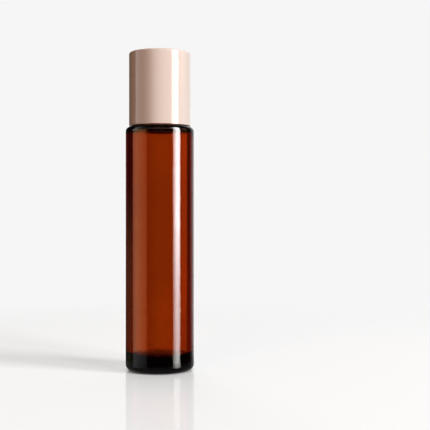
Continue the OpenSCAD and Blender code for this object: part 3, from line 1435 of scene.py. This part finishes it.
@dataclass(frozen=True)
class Studio:
    """A pale seamless studio: glossy floor, backdrop, lamps and softboxes."""

    room: Room = Room()
    lamps: tuple[Lamp, ...] = (
        Lamp("key_softbox", 66.0, 28.0, 0.96, 400.0, 640.0),
        Lamp("key_edge", 44.0, 28.0, 0.33, 300.0, 640.0),
        Lamp("front_fill", -24.0, 12.0, 0.29, 600.0, 600.0, colour="#FFCFB1"),
        Lamp("back_fill", -165.0, 5.0, 0.7, 700.0, 500.0),
    )
    # Height of the point that the lamps face
    lamps_face_mm: float = 47.0
    softboxes: tuple[Softbox, ...] = (
        # The strip, which is the bright upright line
        Softbox((Glow(47.6, 0.0, "#FFDCC8"), Glow(48.0, 7.0, "#FFDCC8"),
                 Glow(49.7, 8.2, "#FFE6D8"), Glow(53.3, 10.6), Glow(56.9, 16.9),
                 Glow(60.7, 21.0), Glow(64.4, 23.0), Glow(68.4, 20.6), Glow(72.4, 17.0),
                 Glow(75.4, 12.5, "#FFF6E8"), Glow(76.0, 0.0, "#FFF6E8")),
                (-9.9, -9.3), (37.0, 43.0), image=0.97, inner=0.25),
        # The side panel, in the cap and on the shoulder
        Softbox((Glow(-99.0, 0.0), Glow(-98.5, 1.8), Glow(-94.0, 1.9), Glow(-84.0, 1.6),
                 Glow(-74.0, 0.85), Glow(-65.0, 0.4), Glow(-56.0, 0.3), Glow(-40.0, 0.0)),
                (5.6, 5.7), (20.0, 58.0)),
        # The low front panel, in the cap
        Softbox((Glow(-40.0, 0.0), Glow(-30.0, 0.3), Glow(-18.0, 1.0), Glow(-2.0, 1.3),
                 Glow(14.0, 0.9), Glow(40.0, 0.0)),
                (5.6, 5.7), (11.0, 12.0)),
        # The warm panels on the left and on the right, in the glass
        Softbox((Glow(-99.0, 0.0, "#FFE1B0"), Glow(-98.0, 1.0, "#FFE1B0"),
                 Glow(-91.0, 1.0, "#FFE1B0"), Glow(-81.5, 2.0, "#FFC694"),
                 Glow(-64.5, 2.15, "#FFAF6D"), Glow(-44.0, 1.67, "#FF945A"),
                 Glow(-41.0, 1.2, "#FF9555"), Glow(-40.5, 0.0, "#FF9555")),
                (-8.65, -8.55), (5.6, 5.7), image_deg=-8.6, image=2.5),
        Softbox((Glow(80.0, 0.0), Glow(84.0, 0.25), Glow(104.0, 0.25), Glow(112.0, 0.0)),
                (-8.65, -8.55), (5.6, 5.7), "#FFB45A"),
        # The foot panel, on the thick foot
        Softbox((Glow(-99.0, 0.0), Glow(-98.0, 0.85), Glow(-78.0, 0.85), Glow(-46.0, 0.38),
                 Glow(-41.0, 0.35), Glow(-40.5, 0.0)),
                (-10.2, -9.3), (-8.65, -8.55)),
        # The dim panel behind on the left, in the glass's edge
        Softbox((Glow(-140.0, 0.0), Glow(-134.0, 0.12), Glow(-106.0, 0.12), Glow(-99.0, 0.0)),
                (-9.9, -9.3), (-4.0, 2.0), "#D9FFB3"),
        # The two that line the shoulder's edge
        Softbox((Glow(-46.0, 0.0, "#FFA891"), Glow(-41.0, 0.65, "#FFA891"),
                 Glow(0.0, 0.85, "#FFA891"), Glow(30.0, 1.1, "#FFA891"), Glow(38.0, 2.0),
                 Glow(43.0, 3.4), Glow(46.0, 3.4), Glow(47.0, 0.0)),
                (9.0, 13.0), (26.0, 38.0), "#FFB7A0"),
        Softbox((Glow(78.0, 0.0), Glow(84.0, 1.1), Glow(100.0, 1.1), Glow(112.0, 0.0)),
                (7.0, 9.0), (20.0, 34.0), "#FFB7A0"),
    )
    backdrop: str = "#F6F6F6"
    # Share of the floor's light that comes from the lamps, and the level of the rest
    floor_lit: float = 0.6
    floor_glow: float = 1.29
    # Distances between which the floor turns into the backdrop, and its painted pool of light fades
    floor_fade_mm: tuple[float, float] = (85.0, 240.0)
    pool_fade_mm: tuple[float, float] = (40.0, 380.0)
    # Distances from the axis between which the painted shadow under the foot's edge ends
    painted_contact_shadow_mm: tuple[float, float] = (9.0, 10.6)
    # The floor's mirror share is this over the root of the millimetres from the axis
    floor_gloss: float = 1.05
    floor_gloss_most: float = 0.36
    floor_ior: float = 1.5
    # Levels of the floor in a mirror: from inside the glass, close round the foot, where it is a
    # painted shade, and where the mirror looks steeply down on it, which it does where the floor's
    # own gloss is least
    floor_in_glass: float = 0.9
    shaded_floor_at_foot: float = 0.14
    foot_shade_mm: tuple[float, float] = (22.5, 25.5)
    steep_gloss: tuple[float, float] = (0.2, 0.1)
    floor_half_m: float = 3.0
    film_mm: float = 0.05
    # How pale the floor and the room are to the light that bounces between surfaces
    bounce: float = 0.1
    front_light: float = 0.01
    back_light: float = 0.6

    def build(self) -> None:
        """Makes the whole studio."""
        bpy.context.scene.view_settings.view_transform = "Standard"
        for lamp in self.lamps:
            lamp.build(Vector((0.0, 0.0, self.lamps_face_mm * MM)))
        self.build_floor()
        self.build_world()

    def level_sheet(self, name: str, height: float, finish: Material) -> Object:
        """Lays a level square sheet in the studio.

        Args:
            name: The sheet's name.
            height: Its height in metres.
            finish: Its material.

        Returns:
            The object.
        """
        mesh = bpy.data.meshes.new(name)
        half = self.floor_half_m
        mesh.from_pydata([(-half, -half, height), (half, -half, height), (half, half, height),
                          (-half, half, height)], [], [(0, 1, 2, 3)])
        mesh.materials.append(finish)
        sheet = bpy.data.objects.new(name, mesh)
        bpy.context.scene.collection.objects.link(sheet)
        return sheet

    def build_floor(self) -> None:
        """Makes the floor of white gloss acrylic, and a clear film just over it.

        The film marks what the eye sees on the floor, so that the world keeps the softboxes'
        faces out of the floor's own gloss.
        """
        self.level_sheet("floor", 0.0, self.floor_finish())
        clear, tree = blank("clear_film")
        through = add(tree, "ShaderNodeBsdfTransparent")
        add(tree, "ShaderNodeOutputMaterial", {"Surface": through})
        film = self.level_sheet("floor_film", self.film_mm * MM, clear)
        film.visible_transmission = False
        film.visible_diffuse = False
        film.visible_shadow = False

    def floor_finish(self) -> Material:
        """Makes white gloss acrylic that keeps the lamps' shadow and a fading mirror image, with a
        painted shadow under the foot's edge and a painted pool of light seen through the glass.

        Returns:
            The material.
        """
        material, tree = blank("white_gloss_acrylic")
        paint = linear(self.backdrop)
        sight = Sight(tree, Reading.PLACE)
        away = add(tree, VECTOR_MATH, (sight.way,), operation="LENGTH")
        # Painted pool of light: through the glass the floor glows by azimuth, close behind and then
        # farther off
        uneven = add(tree, MAP_RANGE, (away, *metres(self.pool_fade_mm),
                                       self.room.through_glass(sight, self.room.painted_floor_behind),
                                       self.room.through_glass(sight, self.room.behind)),
                     interpolation_type="SMOOTHSTEP")
        strength = add(tree, MATH, (uneven, self.floor_glow), operation="MULTIPLY")
        # Painted shadow: the floor's glow falls to nothing under the foot's edge
        strength = add(tree, MAP_RANGE, (away, *metres(self.painted_contact_shadow_mm), 0.0, strength))
        pale = add(tree, "ShaderNodeEmission", (paint, strength))
        lit = add(tree, "ShaderNodeBsdfDiffuse", (paint,))
        close = add(tree, MIX_SHADER, (self.floor_lit, pale, lit))
        afar = add(tree, "ShaderNodeEmission", (paint, uneven))
        fade = add(tree, MAP_RANGE, (away, *metres(self.floor_fade_mm)),
                   interpolation_type="SMOOTHSTEP")
        seen = add(tree, MIX_SHADER, (fade, close, afar))
        away_mm = add(tree, MATH, (away, MM), operation="DIVIDE")
        gloss = add(tree, MATH, (away_mm, -0.5), operation="POWER")
        gloss = add(tree, MATH, (gloss, self.floor_gloss), operation="MULTIPLY")
        gloss = add(tree, MATH, (gloss, self.floor_gloss_most), operation="MINIMUM")
        mirror = add(tree, "ShaderNodeBsdfGlossy", {"Color": linear(WHITE), "Roughness": 0.0})
        to_eye = add(tree, MIX_SHADER, (gloss, seen, mirror))
        polished = add(tree, MIX_SHADER,
                       (sight.in_mirror(), to_eye, self.mirrored_floor(sight, away)))
        dim = add(tree, "ShaderNodeBsdfDiffuse", ((self.bounce, self.bounce, self.bounce, 1.0),))
        surface = add(tree, MIX_SHADER, (sight.shown(), dim, polished))
        add(tree, "ShaderNodeOutputMaterial", {"Surface": surface})
        return material

    def mirrored_floor(self, sight: Sight, away: Node) -> Node:
        """Makes the floor as the bottle mirrors it: a glow with painted shade, clear where its
        gloss shows what stands on it.

        Args:
            sight: The ray that comes to the floor.
            away: Distance from the bottle's axis.

        Returns:
            The shader.
        """
        tree = sight.tree
        gloss = add(tree, "ShaderNodeFresnel", {"IOR": self.floor_ior})
        steep = add(tree, MAP_RANGE, (gloss, *self.steep_gloss))
        # Painted shade: in a mirror the floor beside and in front of the bottle glows at the room's
        # dark level, pale behind it and where the mirror looks steeply down
        level = self.room.mirrored(sight, self.room.beside(sight))
        level = add(tree, MIX, {"Factor": steep, "A": level, "B": 1.0})
        level = add(tree, MIX, {"Factor": sight.inside(), "A": level, "B": self.floor_in_glass})
        # Painted shade: in a mirror the floor close round the foot is dark
        level = add(tree, MAP_RANGE, (away, *metres(self.foot_shade_mm), self.shaded_floor_at_foot, level))
        glow = add(tree, "ShaderNodeEmission", (linear(self.backdrop), level))
        clear = add(tree, "ShaderNodeBsdfTransparent")
        return add(tree, MIX_SHADER, (gloss, glow, clear))

    def build_world(self) -> None:
        """Makes the backdrop and the room round it."""
        world = bpy.data.worlds.new("studio")
        world.use_nodes = True
        world.cycles.sampling_method = "NONE"
        bpy.context.scene.world = world
        tree = world.node_tree
        tree.nodes.clear()
        sight = Sight(tree, Reading.DIRECTION)
        beside = self.room.beside(sight)
        off = add(tree, MATH, (beside, self.room.above(sight)), operation="MAXIMUM")
        higher = add(tree, MAP_RANGE, (sight.z, *map(math.radians, self.room.behind_above_deg),
                                       1.0, self.room.behind_above))
        higher = add(tree, MIX,
                     {"Factor": sight.ray["Is Transmission Ray"], "A": 1.0, "B": higher})
        straight = self.room.through_glass(sight, self.room.behind)
        straight = add(tree, MATH, (straight, higher), operation="MULTIPLY")
        mirror = add(tree, MATH, (sight.in_mirror(), sight.off_the_floor()),
                     operation="SUBTRACT", use_clamp=True)
        pale = add(tree, MIX,
                   {"Factor": mirror, "A": straight, "B": self.room.mirrored(sight, off)})
        soft = add(tree, MAP_RANGE, (beside, 0.0, 1.0, self.back_light, self.front_light))
        shown = sight.shown()
        level = add(tree, MIX, {"Factor": shown, "A": soft, "B": pale})
        total = add(tree, VECTOR_MATH, {0: linear(self.backdrop)[:3], "Scale": level},
                    operation="SCALE")
        faces = add(tree, MATH, (mirror, shown), operation="MINIMUM")
        for light in self.mirrored_lights(sight):
            light = add(tree, VECTOR_MATH, {0: light, "Scale": faces}, operation="SCALE")
            total = add(tree, VECTOR_MATH, (total, light), operation="ADD")
        glow = add(tree, "ShaderNodeBackground", (total, 1.0))
        add(tree, "ShaderNodeOutputWorld", {"Surface": glow})

    def mirrored_lights(self, sight: Sight) -> list[Node]:
        """Adds the softboxes' faces.

        Args:
            sight: The ray that comes to the world.

        Returns:
            The node that holds each face's light.
        """
        tree = sight.tree
        forward = add(tree, MATH, (sight.y, -1.0), operation="MULTIPLY")
        azimuth = add(tree, MATH, (sight.x, forward), operation="ARCTAN2")
        elevation = add(tree, MATH, (sight.z,), operation="ARCSINE")
        inside = sight.inside()
        return [box.light(tree, azimuth, elevation, inside) for box in self.softboxes]


def main() -> None:
    """Loads the frame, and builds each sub-assembly and the studio."""
    logging.basicConfig(level=logging.INFO, format="%(name)s: %(message)s")
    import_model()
    shop = Workshop()
    Bottle().build(shop)
    roller = Roller()
    roller.build_housing(shop)
    roller.build_ball(shop)
    Seal().build(shop)
    cap = Cap()
    cap.build_insert(shop)
    cap.build_shell(shop)
    Camera().build()
    Studio().build()


if __name__ == "__main__":
    main()
